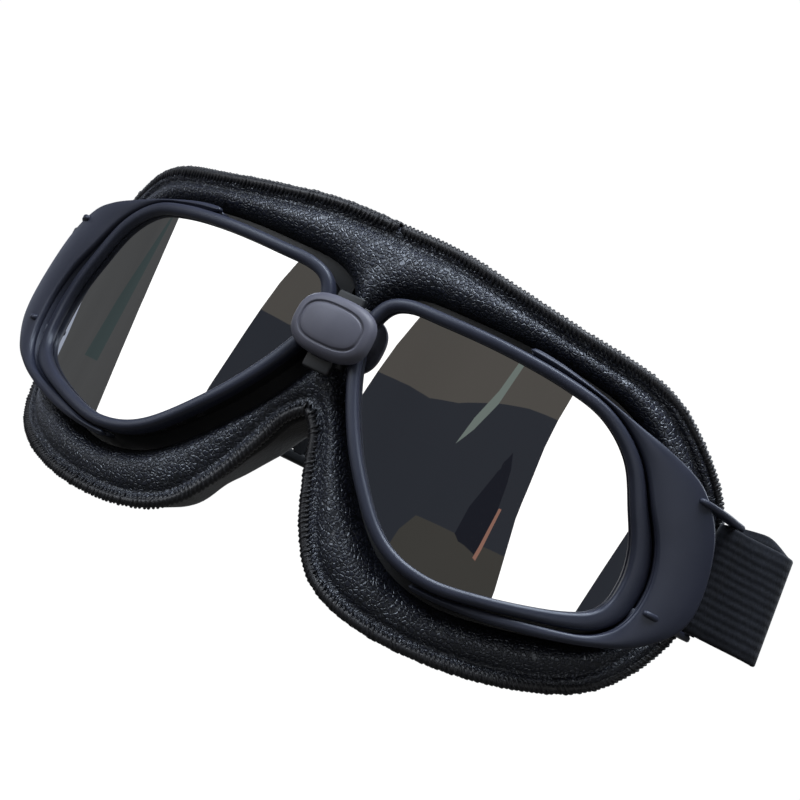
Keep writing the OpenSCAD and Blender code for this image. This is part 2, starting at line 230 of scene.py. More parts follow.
def tube(path, radius, sides=6, tip=0.35):
    """A thin round thread along a path, with drawn-in ends."""
    p = np.array(path, float)
    t = np.gradient(p, axis=0)
    t /= np.linalg.norm(t, axis=1)[:, None]
    up = np.array([0.3, 0.2, 1.0])
    sections = []
    for i in range(len(p)):
        a = np.cross(t[i], up)
        a /= np.linalg.norm(a)
        b = np.cross(t[i], a)
        r = radius * (tip if i in (0, len(p) - 1) else 1.0)
        ang = np.arange(sides) * 2 * math.pi / sides
        sections.append(p[i] + r * (np.cos(ang)[:, None] * a + np.sin(ang)[:, None] * b))
    return loft(sections, closed=False, caps=True)


def rounded_box(x0, x1, y0, y1, z0, z1, r, steps=4):
    """A box with rounded upright edges and softened ends."""
    sections = []
    for inset, z in ((r * 0.6, z0), (r * 0.15, z0 + r * 0.35), (0, z0 + r), (0, z1 - r),
                     (r * 0.15, z1 - r * 0.35), (r * 0.6, z1)):
        ring = []
        for cx, cy, start in ((x1 - r, y1 - r, 0), (x0 + r, y1 - r, 90),
                              (x0 + r, y0 + r, 180), (x1 - r, y0 + r, 270)):
            for k in range(steps + 1):
                a = math.radians(start + 90 * k / steps)
                ring.append((cx + (r - inset) * math.cos(a), cy + (r - inset) * math.sin(a), z))
        sections.append(np.array(ring))
    return loft(sections, closed=False, caps=True)


# Materials ------------------------------------------------------------------------------
class Paint:
    """A Principled material with a few short helpers for its nodes."""

    def __init__(self, name, **sockets):
        self.material = bpy.data.materials.new(name)
        self.material.use_nodes = True
        self.tree = self.material.node_tree
        self.shader = next(n for n in self.tree.nodes if n.type == "BSDF_PRINCIPLED")
        for key, value in sockets.items():
            self.shader.inputs[key.replace("_", " ")].default_value = value
        self.place = self.node("ShaderNodeTexCoord").outputs["Object"]

    def node(self, kind, **settings):
        made = self.tree.nodes.new(kind)
        for key, value in settings.items():
            if hasattr(made, key):
                setattr(made, key, value)
            else:
                made.inputs[key.replace("_", " ")].default_value = value
        return made

    def link(self, a, b):
        self.tree.links.new(a, b)

    def stretched(self, scale):
        """Object coordinates scaled along each axis."""
        mapping = self.node("ShaderNodeMapping")
        mapping.inputs["Scale"].default_value = scale
        self.link(self.place, mapping.inputs["Vector"])
        return mapping.outputs["Vector"]

    def noise(self, scale, detail=3.0, rough=0.5, vector=None):
        made = self.node("ShaderNodeTexNoise", Scale=scale, Detail=detail, Roughness=rough)
        self.link(vector or self.place, made.inputs["Vector"])
        return made.outputs["Fac"]

    def cells(self, scale, feature="F1", smoothness=0.0, vector=None):
        made = self.node("ShaderNodeTexVoronoi", feature=feature, Scale=scale)
        if feature == "SMOOTH_F1":
            made.inputs["Smoothness"].default_value = smoothness
        self.link(vector or self.place, made.inputs["Vector"])
        return made.outputs["Distance"]

    def ramp(self, fac, stops):
        made = self.node("ShaderNodeValToRGB")
        line = made.color_ramp
        line.elements[0].position, line.elements[0].color = stops[0]
        line.elements[1].position, line.elements[1].color = stops[-1]
        for where, colour in stops[1:-1]:
            line.elements.new(where).color = colour
        self.link(fac, made.inputs["Fac"])
        return made.outputs["Color"]

    def span(self, fac, low, high):
        made = self.node("ShaderNodeMapRange")
        made.inputs["To Min"].default_value = low
        made.inputs["To Max"].default_value = high
        self.link(fac, made.inputs["Value"])
        return made.outputs["Result"]

    def add(self, a, b, weight):
        made = self.node("ShaderNodeMath", operation="MULTIPLY_ADD")
        self.link(b, made.inputs[0])
        made.inputs[1].default_value = weight
        self.link(a, made.inputs[2])
        return made.outputs["Value"]

    def colour(self, fac, stops):
        self.link(self.ramp(fac, stops), self.shader.inputs["Base Color"])

    def rough(self, fac, low, high):
        self.link(self.span(fac, low, high), self.shader.inputs["Roughness"])

    def bump(self, height, strength, depth_mm):
        made = self.node("ShaderNodeBump", Strength=strength, Distance=depth_mm * MM)
        self.link(height, made.inputs["Height"])
        self.link(made.outputs["Normal"], self.shader.inputs["Normal"])


def grey(v, blue=1.0):
    return (v, v * (1 + 0.35 * (blue - 1)), v * blue, 1)


def satin_plastic():
    m = Paint("satin_plastic", Specular_IOR_Level=0.45, Specular_Tint=(0.86, 0.92, 1.0, 1.0))
    broad, fine = m.noise(90, 4), m.noise(2600, 3)
    m.colour(broad, [(0.3, (0.019, 0.022, 0.039, 1)), (0.7, (0.025, 0.028, 0.048, 1))])
    m.rough(m.noise(240, 5), 0.38, 0.5)
    m.bump(fine, 0.25, 0.03)
    return m.material


def badge_plastic():
    m = Paint("badge_plastic", Specular_IOR_Level=0.4)
    # The base colour is much lighter than the frame's: painted highlight, the light from above left that
    # falls on the badge.
    m.colour(m.noise(140, 4), [(0.3, (0.085, 0.086, 0.114, 1)), (0.7, (0.105, 0.106, 0.138, 1))])
    m.rough(m.noise(260, 5), 0.45, 0.56)
    m.bump(m.noise(2400, 3), 0.3, 0.03)
    return m.material


def black_plastic():
    m = Paint("black_plastic", Specular_IOR_Level=0.45)
    m.colour(m.noise(120, 4), [(0.3, grey(0.0055, 1.5)), (0.7, grey(0.009, 1.5))])
    m.rough(m.noise(300, 4), 0.45, 0.6)
    m.bump(m.noise(2200, 3), 0.3, 0.03)
    return m.material


def mirror_lens():
    m = Paint("mirror_lens", Metallic=1.0)
    m.colour(m.noise(24, 2), [(0.35, (0.515, 0.52, 0.52, 1)), (0.65, (0.535, 0.53, 0.525, 1))])
    m.rough(m.noise(1400, 2), 0.0, 0.02)
    return m.material


def pebbled_leather():
    m = Paint("pebbled_leather", Specular_IOR_Level=0.75, Specular_Tint=(0.86, 0.92, 1.0, 1.0))
    wobble = m.node("ShaderNodeTexNoise", Scale=330.0, Detail=2.0)
    m.link(m.place, wobble.inputs["Vector"])
    warp = m.node("ShaderNodeVectorMath", operation="MULTIPLY_ADD")
    m.link(wobble.outputs["Color"], warp.inputs[0])
    warp.inputs[1].default_value = (0.0007, 0.0007, 0.0007)
    m.link(m.place, warp.inputs[2])
    grain = m.cells(1050, "DISTANCE_TO_EDGE", vector=warp.outputs["Vector"])
    pebble = m.node("ShaderNodeMapRange", interpolation_type="SMOOTHSTEP")
    pebble.inputs["From Max"].default_value = 0.24
    m.link(grain, pebble.inputs["Value"])
    fold = m.noise(170, 3, 0.55)
    height = m.add(m.add(pebble.outputs["Result"], fold, 2.2), m.noise(2600, 2), 0.10)
    m.bump(height, 0.9, 0.15)
    # The base colour is darker in the creases between the pebbles: painted shade in the creases.
    m.colour(pebble.outputs["Result"], [(0.0, (0.0025, 0.003, 0.006, 1)), (1.0, (0.016, 0.018, 0.032, 1))])
    m.rough(m.noise(420, 4), 0.3, 0.42)
    return m.material


def pad_cloth():
    m = Paint("pad_cloth", Specular_IOR_Level=0.3, Sheen_Weight=0.25, Sheen_Roughness=0.5)
    weave = m.cells(1500, "F1")
    m.colour(weave, [(0.1, grey(0.028, 1.0)), (0.6, grey(0.012, 1.0))])
    m.rough(m.noise(300, 3), 0.75, 0.95)
    m.bump(m.add(weave, m.noise(900, 4), 0.6), 0.6, 0.15)
    return m.material


def foam_rubber():
    m = Paint("foam_rubber", Specular_IOR_Level=0.25)
    m.colour(m.noise(700, 5, 0.7), [(0.35, grey(0.006)), (0.65, grey(0.03))])
    m.rough(m.noise(400, 3), 0.8, 0.98)
    m.bump(m.cells(1300, "SMOOTH_F1", 0.3), 0.7, 0.25)
    return m.material


def waxed_thread():
    m = Paint("waxed_thread", Specular_IOR_Level=0.5)
    m.colour(m.noise(900, 4), [(0.3, (0.003, 0.0035, 0.006, 1)), (0.7, (0.007, 0.008, 0.013, 1))])
    m.rough(m.noise(1500, 3), 0.35, 0.55)
    m.bump(m.noise(4200, 4, 0.7), 0.6, 0.08)
    return m.material


def knit_webbing():
    m = Paint("knit_webbing", Specular_IOR_Level=0.22, Sheen_Weight=0.10, Sheen_Roughness=0.45)
    ribs = m.node("ShaderNodeTexWave", wave_type="BANDS", bands_direction="Z", Scale=170.0, Distortion=0.6,
                  Detail=2.0)
    m.link(m.place, ribs.inputs["Vector"])
    m.tree.nodes.update()
    cross = m.noise(2300, 3, vector=m.stretched((1, 1, 0.35)))
    m.colour(m.noise(1100, 4), [(0.3, (0.0045, 0.006, 0.010, 1)), (0.7, (0.009, 0.011, 0.018, 1))])
    m.rough(m.noise(500, 3), 0.7, 0.92)
    m.bump(m.add(ribs.outputs["Fac"], cross, 1.4), 0.55, 0.16)
    return m.material


def plain_steel():
    m = Paint("plain_steel", Metallic=1.0)
    m.colour(m.noise(200, 3), [(0.3, grey(0.45)), (0.7, grey(0.58))])
    m.rough(m.noise(900, 3, vector=m.stretched((1, 1, 8))), 0.25, 0.42)
    return m.material


def pale_floor():
    m = Paint("pale_floor", Specular_IOR_Level=0.2)
    m.colour(m.noise(3, 2), [(0.3, (0.92, 0.92, 0.92, 1)), (0.7, (0.95, 0.95, 0.95, 1))])
    m.rough(m.noise(8, 2), 0.75, 0.85)
    m.shader.inputs["Emission Color"].default_value = (1, 1, 1, 1)
    m.shader.inputs["Emission Strength"].default_value = 1.0
    return m.material


SATIN, BADGE, BLACK, MIRROR = satin_plastic(), badge_plastic(), black_plastic(), mirror_lens()
LEATHER, CLOTH, FOAM = pebbled_leather(), pad_cloth(), foam_rubber()
THREAD, WEBBING, STEEL = waxed_thread(), knit_webbing(), plain_steel()

opening = curve(OPENING, 9, True)
out_dir = outward(opening)


def outer_end(power):
    return np.clip(opening[:, 0] / 36, 0, None) ** power


def rim_width(extra=0.0, slot=0.0):
    return RIM_W + extra + RIM_FLARE * outer_end(4) + slot * outer_end(2)


# Rims and lenses ------------------------------------------------------------------------
def make_rim(side):
    width = rim_width()
    sections = []
    for q, n, w in zip(opening, out_dir, width):
        section = [(0.0, 0.55), (0.0, -0.3), (0.1, -0.85), (0.34, -1.22), (0.8, -1.42), (0.5 * w, -1.5),
                   (0.75 * w, -1.45), (w - 0.4, -1.2), (w - 0.1, -0.8), (w, -0.2), (w, 1.0), (w, 2.1),
                   (w - 0.15, 2.45), (w - 0.4, 2.6), (1.6, 2.6), (1.25, 2.5), (1.2, 1.4),
                   (1.2, 0.6), (0.6, 0.6)]
        u, v = np.array(section).T
        sections.append(on_cylinder(q[0] + n[0] * u, q[1] + n[1] * u, v))
    points, faces = loft(sections)
    name = "left_rim" if side < 0 else "right_rim"
    piece = put(name + "_shape", points, faces, side, SATIN)
    return piece


def make_lens(side):
    rings = []
    edge = opening + out_dir * 1.05
    middle = edge.mean(axis=0)
    shares = 1 - np.linspace(0, 1, 26)[:-1] ** 1.15
    for share in shares:
        rings.append(middle + (edge - middle) * share)
    n = len(opening)
    points, faces = [], []
    for depth in (0.6, 2.4):
        for ring in rings:
            points.append(on_cylinder(ring[:, 0], ring[:, 1], depth))
        points.append(on_cylinder([middle[0]], [middle[1]], depth))
    points = np.concatenate(points)
    layer = len(rings) * n + 1
    for base, turn in ((0, False), (layer, True)):
        for r in range(len(rings) - 1):
            for k in range(n):
                l = (k + 1) % n
                f = (base + r * n + k, base + r * n + l, base + (r + 1) * n + l, base + (r + 1) * n + k)
                faces.append(tuple(reversed(f)) if turn else f)
        last = base + (len(rings) - 1) * n
        for k in range(n):
            f = (last + k, last + (k + 1) % n, base + layer - 1)
            faces.append(tuple(reversed(f)) if turn else f)
    rim_start = len(points)
    points = np.concatenate([points, points[:n], points[layer:layer + n]])
    for k in range(n):
        l = (k + 1) % n
        faces.append((rim_start + k, rim_start + n + k, rim_start + n + l, rim_start + l))
    name = "left_lens" if side < 0 else "right_lens"
    return put(name + "_glass", points, outside_in(points, faces), side, MIRROR)


# Wings ----------------------------------------------------------------------------------
def make_wing(side):
    count = 150
    inner_all = opening + out_dir * rim_width(0.15, SLOT)[:, None]
    start = int(np.argmin(np.where(inner_all[:, 1] > 0, abs(inner_all[:, 0] + 4), 99)))
    stop = int(np.argmin(np.where(inner_all[:, 1] < 0, abs(inner_all[:, 0] + 4), 99)))
    inner = even(inner_all[start:stop + 1], count)
    edge = curve(WING, 9, False)
    outer = even(edge[edge[:, 0] >= -4.01], count)
    share = np.linspace(0, 1, count)
    sections = []
    for i in range(count):
        a, b = inner[i], outer[i]
        end = min(share[i], 1 - share[i]) / 0.018
        swell = math.sqrt(max(1 - (1 - min(end, 1)) ** 2, 0.02))
        mid, half = (a + b) / 2, (b - a) / 2 * swell
        w = 2 * np.linalg.norm(half)
        r = min(0.7, 0.32 * w)
        crown = min(0.35, 0.05 * w)
        t = 1.0 - 0.35 * (1 - swell)
        across = np.array([0, 0.15 * r, 0.5 * r, r, 0.3 * w, 0.5 * w, 0.7 * w, w - r, w - 0.5 * r,
                           w - 0.15 * r,
                           w, w - 0.2 * r, w - r, 0.5 * w, r, 0.2 * r])
        depth = np.array([0.9, 0.45, 0.12, 0.0, -0.8 * crown, -crown, -0.8 * crown, 0.0, 0.12, 0.45,
                          0.9, 1.6, 2.0, 2.0, 2.0, 1.6]) * t
        way = half / max(np.linalg.norm(half), 1e-9)
        p = mid - half
        sections.append(on_cylinder(p[0] + way[0] * across, p[1] + way[1] * across, depth, WING_R))
    plate = loft(sections, closed=False, caps=True)
    parts = [plate]
    # A wall behind the plate's inner edge, back to the eyecup, closes the slot beside the rim.
    near, far = [even((opening + out_dir * rim_width(gap, SLOT)[:, None])[start:stop + 1], count)
                 for gap in (0.25, 1.05)]
    front = [on_cylinder(edge[:, 0], edge[:, 1], 1.3, WING_R) for edge in (near, far)]
    rear = [on_cylinder(edge[:, 0], edge[:, 1], 4.4) for edge in (far, near)]
    parts.append(loft(list(np.stack(front + rear, axis=1)), closed=False, caps=True))
    # The strap bar and its two ribs, and the two tongues into the side slot.
    bar_h = STRAP_W + 0.6
    z0 = STRAP_Z - bar_h / 2
    ring = [(BAR[0] + 1.5 * math.cos(a), BAR[1] + 1.5 * math.sin(a)) for a in np.arange(20) * math.pi / 10]
    parts.append(loft([np.array([(x, y, z) for x, y in ring])
                       for z in (z0 - 0.4, z0, z0 + bar_h, z0 + bar_h + 0.4)],
                      closed=False, caps=True))
    rib = curve([(BAR[0] - 1.7, BAR[1] - 0.6), (BAR[0] - 1.2, BAR[1] + 1.5), (BAR[0] + 1.6, BAR[1] + 1.2),
                 (BAR[0] + 1.0, BAR[1] - 3.0), (88.6, 26.0), (85.4, 20.4), (83.4, 20.6), (85.2, 28)], 4, True)
    for low in (z0 - 1.4, z0 + bar_h):
        levels = [(0.35, low), (0.0, low + 0.3), (0.0, low + 1.1), (0.35, low + 1.4)]
        centre = rib.mean(axis=0)
        parts.append(loft([np.column_stack([centre + (rib - centre) * (1 - inset / 6), np.full(len(rib), z)])
                           for inset, z in levels], closed=False, caps=True))
    for x, z in ((40.0, -15.0), (32.7, 11.0)):
        corners = [(x, z), (x + 1.4, z), (x + 1.4, z + 3), (x, z + 3)]
        outline = curve(corners, 5, True)
        parts.append(loft([on_cylinder(outline[:, 0], outline[:, 1], d) for d in (-1.4, 2.0, 5.5, 7.9)],
                          closed=False, caps=True))
    points, faces = merge(parts)
    name = "left_wing" if side < 0 else "right_wing"
    return put(name + "_plate", points, faces, side, SATIN)


# Bridge cover ---------------------------------------------------------------------------
def make_cover():
    half_w, half_h, front, back = 10.0, 7.0, -9.0, -5.4
    angles = np.arange(96) * 2 * math.pi / 96
    power = 2 / 2.75

    def ring(inset, y, dome, scale=1.0):
        a, b = (half_w - inset) * scale, (half_h - inset) * scale
        x = a * np.sign(np.cos(angles)) * abs(np.cos(angles)) ** power
        z = b * np.sign(np.sin(angles)) * abs(np.sin(angles)) ** power
        sag = (x ** 2 / 60 + z ** 2 / 44) * dome
        return np.column_stack([x, y + sag, z + COVER_Z])

    levels = [(3.2, back + 1.6, 0), (2.6, back + 1.4, 0), (2.0, back, 0), (0.25, back, 0),
              (0.0, back - 0.25, 0.1), (0.0, back - 1.0, 0.5), (0.05, front + 1.25, 1),
              (0.25, front + 0.7, 1), (0.65, front + 0.28, 1), (1.2, front + 0.06, 1),
              (1.9, front, 1), (2.15, front + 0.04, 1), (2.25, front + 0.3, 1),
              (2.6, front + 0.34, 1), (2.7, front + 0.06, 1), (2.95, front, 1), (3.8, front, 1),
              (3.8, front, 1, 0.75), (3.8, front, 1, 0.5), (3.8, front, 1, 0.25),
              (3.8, front, 1, 0.12)]
    points, faces = loft([ring(*level) for level in levels], closed=False, caps=True)
    return put("bridge_cover_pill", points, faces, 1, BADGE)


def make_hinge_block():
    """The block behind the cover, its ledge showing above and below, with the ears for the pins."""
    front, back, half = -5.25, -3.1, 3.4
    parts = [rounded_box(-half, half, front, back, COVER_Z - 10, COVER_Z + 8.7, 0.45),
             rounded_box(-half + 0.5, half - 0.5, front + 0.5, back + 0.6, COVER_Z - 9.2, COVER_Z - 7.6, 0.4)]
    for low, high in ((-7.4, -4.25), (4.25, 7.4)):
        parts.append(rounded_box(-2.6, 2.6, front, 1.2, COVER_Z + low, COVER_Z + high, 0.3))
        for x in (-2.6, 2.6):
            rings = []
            for radius, z in ((1.7, low), (2.0, low + 0.3), (2.0, high - 0.3), (1.7, high)):
                a = np.arange(32) * math.pi / 16
                rings.append(np.column_stack([x + radius * np.cos(a), -0.8 + radius * np.sin(a),
                                              np.full(32, COVER_Z + z)]))
            parts.append(loft(rings, closed=False, caps=True))
    points, faces = merge(parts)
    return put("hinge_block_body", points, faces, 1, BLACK)


# The mask's spokes ----------------------------------------------------------------------
SPOKES = 300
STITCH_OUT = 0.9                # how far the stitches stand out from the leather's edge
mask_edge = curve(MASK, 8, False)
around = np.vstack([mask_edge, mask_edge[-2:0:-1] * [-1, 1]])
# outward() expects a clockwise ring and this one runs the other way, so the edge is drawn in.
mask_edge += STITCH_OUT * outward(around)[:len(mask_edge)]
mask_edge[[0, -1], 0] = 0.0
full_edge = np.vstack([mask_edge * [-1, 1], mask_edge[::-1]])       # both halves, for distances
half_loop = np.vstack([mask_edge, [[0, z] for z in np.linspace(mask_edge[-1][1], mask_edge[0][1], 30)[1:-1]]])
# Even steps along the half's outer loop keep the seam at x = 0 in step on both halves.
loop = even(half_loop, SPOKES, closed=True)
on_seam = abs(loop[:, 0]) < 0.05
loop[on_seam, 0] = 0.0
spoke_angle = np.arctan2(loop[:, 1] - EYE[1], loop[:, 0] - EYE[0])
seen_opening = seen(opening)


def base_y(x, depth):
    """How far back a depth behind the lens cylinder is, level across the nose."""
    centre = LENS_X - LENS_R * math.sin(WRAP)
    axis = LENS_R * math.cos(WRAP)
    soft = np.sqrt(np.asarray(x) ** 2 + 49.0)
    across = soft - centre
    return axis - np.sqrt(np.clip((LENS_R - depth) ** 2 - across ** 2, 4.0, None))


def face_y(x):
    return SEAT + FACE_R - np.sqrt(FACE_R ** 2 - np.asarray(x) ** 2)


def hole_outline(reach_out):
    return seen(opening + out_dir * reach_out)


def leather_depth(gap_in, gap_out, points):
    """The roll's front surface, as a depth behind the lens cylinder."""
    rise = 9.6 - 7.4 * np.sqrt(1 - (1 - np.clip((gap_in - 5.0) / 6.5, 0, 1)) ** 2)
    bank = 6.1 - 3.9 * np.sqrt(1 - (1 - np.clip((gap_out - 2.6) / 6.5, 0, 1)) ** 2)
    hem = 3.7 + 1.3 * ((gap_out - 1.3) / 1.6) ** 2
    soft = 0.45
    outer = -soft * np.log(np.exp(-bank / soft) + np.exp(-np.minimum(hem, 12) / soft))
    soft = 0.8
    depth = soft * np.log(np.exp(rise / soft) + np.exp(outer / soft))
    pucker = lumps(points * [1, 1, 0.6], 8.0, 3, 0.5) + lumps(points, 3.2, 5, 0.16)
    return depth + pucker * smooth((gap_out - 2.5) / 3.0) * smooth((gap_in - 5) / 4)


def make_leather(side):
    """The leather roll in front: its skin from under the rim out to the stitched edge."""
    inner_r = reach(hole_outline(4.3), spoke_angle)
    outer_r = np.linalg.norm(loop - EYE, axis=1)
    inner_r = np.minimum(inner_r, outer_r - 0.8)
    steps = np.r_[0, 0.03, np.linspace(0.07, 0.9, 24), 0.93, 0.955, 0.975, 0.99, 1.0]
    way = np.column_stack([np.cos(spoke_angle), np.sin(spoke_angle)])
    front, back = [], []
    for u in steps:
        r = inner_r + (outer_r - inner_r) * u
        p = EYE + way * r[:, None]
        p[on_seam & (u > 0.999), 0] = 0.0
        gap_in = distance(p, np.vstack([seen_opening, seen_opening[:1]]))
        gap_out = distance(p, full_edge)
        flat = np.column_stack([p[:, 0], np.zeros(len(p)), p[:, 1]])
        depth = leather_depth(gap_in, gap_out, flat)
        y = base_y(p[:, 0], depth)
        front.append(np.column_stack([p[:, 0], y, p[:, 1]]))
        thick = 1.3 + 4.5 * np.sin(math.pi * min(u, 1)) ** 0.6
        thick = np.where(on_seam & (u > 0.5), 5.5, thick)
        limit = face_y(p[:, 0]) - 7.0
        back.append(np.column_stack([p[:, 0], np.maximum(np.minimum(y + thick, limit), y + 0.9), p[:, 1]]))
    sections = [np.array([row[j] for row in front] + [row[j] for row in reversed(back)])
                for j in range(SPOKES)]
    points, faces = loft(sections)
    name = "left_leather" if side < 0 else "right_leather"
    return put(name + "_roll", points, faces, side, LEATHER)


def edge_line():
    """The stitched edge in space: points, the way along, and the way out."""
    p = even(mask_edge, 420)
    y = base_y(p[:, 0], 4.3)
    line = np.column_stack([p[:, 0], y, p[:, 1]])
    along = np.gradient(line, axis=0)
    along /= np.linalg.norm(along, axis=1)[:, None]
    return line, along


def make_stitches(side):
    """Whip stitches that wrap the mask's edge, each leaning along it."""
    line, along = edge_line()
    length = np.r_[0, np.cumsum(np.linalg.norm(np.diff(line, axis=0), axis=1))]
    pitch, thread_r = 1.12, 0.4
    parts = []
    # A soft bound edge under the thread.
    binding = []
    for p, t in zip(line[::2], along[::2]):
        out = np.cross([0, 1, 0], t)
        out /= np.linalg.norm(out)
        ang = np.arange(10) * 2 * math.pi / 10
        binding.append(p + 1.05 * np.cos(ang)[:, None] * out
                       + 1.25 * np.sin(ang)[:, None] * np.array([0, 1, 0])
                       - 0.35 * out)
    parts.append(loft(binding, closed=False, caps=True))
    # Each stitch, as distances out from the edge and back from it.
    wrap_round = [(-1.9, -0.2), (-1.2, -0.75), (-0.4, -0.98), (0.25, -0.8), (0.62, -0.3), (0.62, 0.4),
                  (0.2, 1.0), (-0.5, 1.3)]
    for at in np.arange(0.6, length[-1] - 0.4, pitch):
        shifted = at + RNG.normal(0, 0.06)
        p = np.array([np.interp(shifted, length, line[:, k]) for k in range(3)])
        t = np.array([np.interp(at, length, along[:, k]) for k in range(3)])
        t /= np.linalg.norm(t)
        out = np.cross([0, 1, 0], t)
        out /= np.linalg.norm(out)
        size = 1 + RNG.normal(0, 0.05)
        lean = np.linspace(-1.0, 1.0, len(wrap_round))
        path = [p + size * u * out + size * v * np.array([0, 1, 0]) + k * t
                for (u, v), k in zip(wrap_round, lean)]
        parts.append(tube(path, thread_r * size, tip=0.5))
    points, faces = merge(parts)
    name = "left_edge_stitch" if side < 0 else "right_edge_stitch"
    return put(name + "_thread", points, faces, side, THREAD)


def pad_sections(side, skin, lift):
    """Cross-sections of the face pad, from the stitched edge to the face and back in."""
    inner_r = reach(hole_outline(4.7), spoke_angle)
    outer_r = np.linalg.norm(loop - EYE, axis=1)
    inner_r = np.minimum(inner_r, outer_r - 1.5)
    way = np.column_stack([np.cos(spoke_angle), np.sin(spoke_angle)])
    # The pad draws in towards the face, less at the lower outer corners, and swells in two places.
    low = smooth((-loop[:, 1] - 20) / 18) * smooth((loop[:, 0] - 10) / 15) * smooth((60 - loop[:, 0]) / 25)
    draw_in = 5.6 - 2.0 * low * (side < 0)
    swell = np.zeros(len(loop))
    if side > 0:
        for x in (36.5, 49.5):
            swell += 3.4 * np.exp(-((loop[:, 0] - x) / 4.2) ** 2) * (loop[:, 1] > 0)
    wave = 0.6 * lumps(np.column_stack([loop, np.zeros(len(loop))]), 9.0, 9)
    fade = smooth(abs(loop[:, 0]) / 16)         # the halves' pads meet flush at the nose
    sections = []
    for j in range(SPOKES):
        edge, hole = loop[j], EYE + way[j] * inner_r[j]
        seam = on_seam[j]
        front_out = base_y(edge[0], 5.6)
        front_in = base_y(hole[0], 10.5)
        rows = []
        for share in (0.02, 0.12, 0.3, 0.5, 0.72, 0.9, 0.98):
            round_off = math.sin(math.pi * min(max(share, 0.02), 0.98)) ** 0.5
            push = fade[j] * (-1.0 - draw_in[j] * share ** 0.8 + (swell[j] + wave[j] + 0.8) * round_off)
            q = edge + way[j] * (0 if seam else push + skin * round_off * fade[j])
            back = face_y(q[0]) - 0.6 - lift
            front = min(front_out, back - 3)
            rows.append((q[0], front + (back - front) * share, q[1]))
        edge = edge if seam else edge - way[j] * (1.0 + draw_in[j]) * fade[j]
        for share in (0.16, 0.35, 0.5, 0.65, 0.84):
            q = edge + (hole - edge) * share
            dome = math.sin(math.pi * share) ** 0.5 * (0.0 if seam and share < 0.3 else 1.0)
            rows.append((q[0], face_y(q[0]) - 0.6 - lift + 0.6 * dome, q[1]))
        for share, push in ((0.92, 0.2), (0.7, 0.0), (0.4, 0.0), (0.1, 0.3)):
            q = hole + way[j] * push
            back = face_y(q[0]) - 0.6 - lift
            front = min(front_in, back - 3)
            rows.append((q[0], front + (back - front) * share, q[1]))
        sections.append(np.array(rows))
    return sections


def make_pad(side):
    points, faces = loft(pad_sections(side, 0.0, 0.7))
    name = "left_foam" if side < 0 else "right_foam"
    return put(name + "_pad", points, faces, side, FOAM)


def make_lining(side):
    """The cloth over the pad's face side: a skin a little outside the pad."""
    sections = []
    for section in pad_sections(side, 0.35, 0.0):
        skin = section[1:-2]
        core = skin + (section.mean(axis=0) - skin) * 0.16
        sections.append(np.concatenate([skin, core[::-1]]))
    points, faces = loft(sections)
    name = "left_lining" if side < 0 else "right_lining"
    return put(name + "_cloth", points, faces, side, CLOTH)


# Strap ----------------------------------------------------------------------------------
def strap_route(side):
    fold = FOLD[side]
    plan = [(90.6, 39.3), (88.4, 38.9), (86.5, 37.2), (86.6, 34.9), (88.4, 33.5), (90.8, 34.4), (93, 36.4),
            (fold - 4, 38.2), (fold - 1.4, 39.8), (fold - 0.7, 42.0), (fold - 2.6, 44.5), (fold - 8, 47.8),
            (85, 52.2), (75, 55.2), (63, 56.7), (48, BACK_Y), (30, BACK_Y), (14, BACK_Y), (0, BACK_Y)]
    path = curve(plan, 8, False)
    length = np.r_[0, np.cumsum(np.linalg.norm(np.diff(path, axis=0), axis=1))]
    return path, length


def make_strap(side):
    path, length = strap_route(side)
    at_fold = length[int(np.argmax(path[:, 0]))]
    t = np.gradient(path, axis=0)
    t /= np.linalg.norm(t, axis=1)[:, None]
    n = np.column_stack([-t[:, 1], t[:, 0]])
    half, thick, edge = STRAP_W / 2, 0.8, 0.5
    z_row = np.r_[np.linspace(-half + edge, half - edge, 15)]
    sections = []
    for i, (p, q) in enumerate(zip(path, n)):
        past = length[i] - at_fold
        lean = FOLD_LEAN[side] * math.exp(-(past / 9.0) ** 2)
        rise = 3.4 * smooth(past / 14.0) * (1 - smooth((past - 12) / 32.0)) * (1 if side > 0 else 0.5)
        wave = 0.25 * noise.noise(Vector((length[i] / 14.0, side * 3.0, 0)))
        ring = [(-thick, z) for z in z_row] + [(-0.55, half - 0.12), (0, half), (0.55, half - 0.12)]
        ring += [(thick, z) for z in z_row[::-1]] + [(0.55, -half + 0.12), (0, -half), (-0.55, -half + 0.12)]
        sections.append(np.array([(p[0] + q[0] * (a + wave * (past > 4)) - lean * z,
                                   p[1] + q[1] * (a + wave * (past > 4)),
                                   STRAP_Z + z + rise) for a, z in ring]))
    points, faces = loft(sections, closed=False, caps=True)
    name = "left_strap" if side < 0 else "right_strap"
    return put(name + "_webbing", points, faces, side, WEBBING)


def make_tail():
    ring_z = np.linspace(-STRAP_W / 2 + 0.5, STRAP_W / 2 - 0.5, 15)
    sections = []
    for x in np.linspace(2, 40, 30):
        y = BACK_Y - 1.6 - 0.15 - 0.25 * smooth((x - 30) / 10)
        end = smooth((40 - x) / 3.0)
        squeeze = 0.55 + 0.45 * math.sqrt(end)
        ring = [(y - 0.8 * squeeze, z) for z in ring_z] + [(y, STRAP_W / 2)]
        ring += [(y + 0.8 * squeeze, z) for z in ring_z[::-1]] + [(y, -STRAP_W / 2)]
        sections.append(np.array([(x, b, STRAP_Z + z) for b, z in ring]))
    points, faces = loft(sections, closed=False, caps=True)
    return put("strap_tail_webbing", points, faces, 1, WEBBING)


